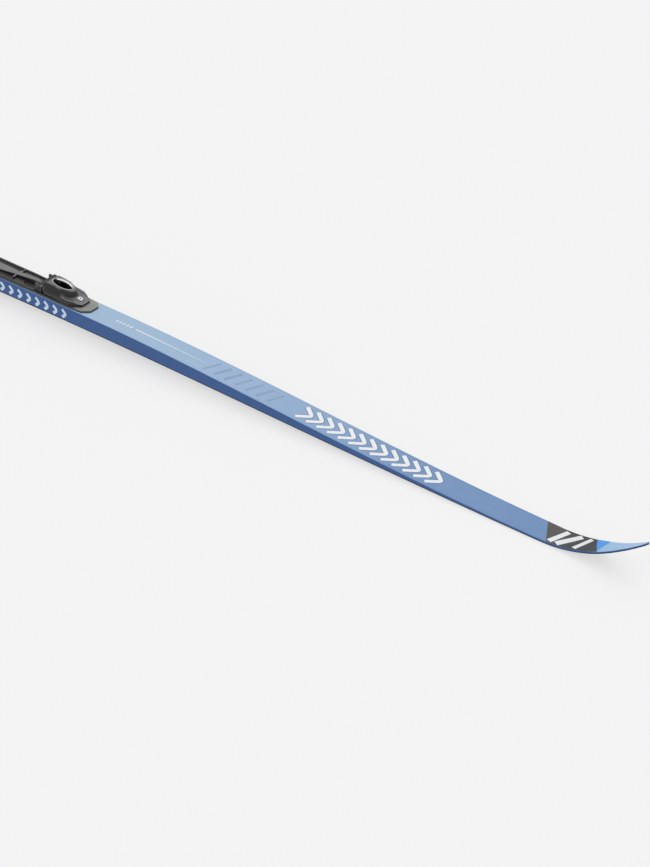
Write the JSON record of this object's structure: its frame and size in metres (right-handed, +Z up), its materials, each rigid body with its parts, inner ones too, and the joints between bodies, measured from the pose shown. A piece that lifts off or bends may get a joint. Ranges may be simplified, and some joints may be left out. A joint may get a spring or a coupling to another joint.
{
  "type": "cross-country ski",
  "caption": "Classic cross-country ski with cambered layered body, upturned tip and a boot binding whose lever opens a sliding toe-bar latch.",
  "frame": {"origin": "centre of the boot's toe bar in its seat", "axes": "+X along the ski to the tip, +Y to the left, +Z up; the ski stands on its base"},
  "size_m": [2.02, 0.0486, 0.0633],
  "materials": {
    "base_sheet": "black sintered polyethylene, structured",
    "laminate": "fibre laminate",
    "core": "light core",
    "reinforcement": "hard fibre sheet",
    "topsheet": "lacquered, printed",
    "sidewall": "satin moulded",
    "guard": "moulded",
    "binding_plastic": "glass-filled nylon",
    "lever_plastic": "satin moulded",
    "collar": "polished",
    "marking_white": "white inlay",
    "steel": "hardened steel",
    "rubber": "moulded rubber"
  },
  "bodies": {
    "ski": {"running_base": "base_sheet", "bottom_laminate": "laminate", "core": "core", "binding_reinforcement": "reinforcement", "top_laminate": "laminate", "topsheet": "topsheet", "sidewall_left": "sidewall", "sidewall_right": "sidewall", "tip_spacer": "sidewall", "tail_spacer": "sidewall", "tail_guard": "guard", "binding_base": "binding_plastic", "toe_bar_saddle": "steel", "jaw_spring": "steel", "hinge_pins": "steel", "flexor": "rubber", "boot_plate": "binding_plastic", "heel_plate": "binding_plastic", "heel_pad": "rubber", "base_screws": "steel", "plate_screws": "steel", "heel_screws": "steel"},
    "lever": {"lever": "lever_plastic", "lever_collar": "collar", "lever_grip_strip": "marking_white", "lever_badge": "marking_white", "drive_pin": "steel"},
    "jaw": {"latch_jaw": "steel"}
  },
  "joints": [
    {"name": "lever_lift", "type": "hinge", "parent": "ski", "child": "lever", "pos_m": [0.02, 0, 0.009], "axis": [0, -1, 0], "range_deg": [0, 70]},
    {"name": "jaw_slide", "type": "slide", "parent": "ski", "child": "jaw", "axis": [1, 0, 0], "range_m": [0, 0.0058], "deforming": ["jaw_spring"]}
  ],
  "couplings": [
    {"joint": "jaw_slide", "follows": "lever_lift", "m_per_rad": 0.0047}
  ]
}
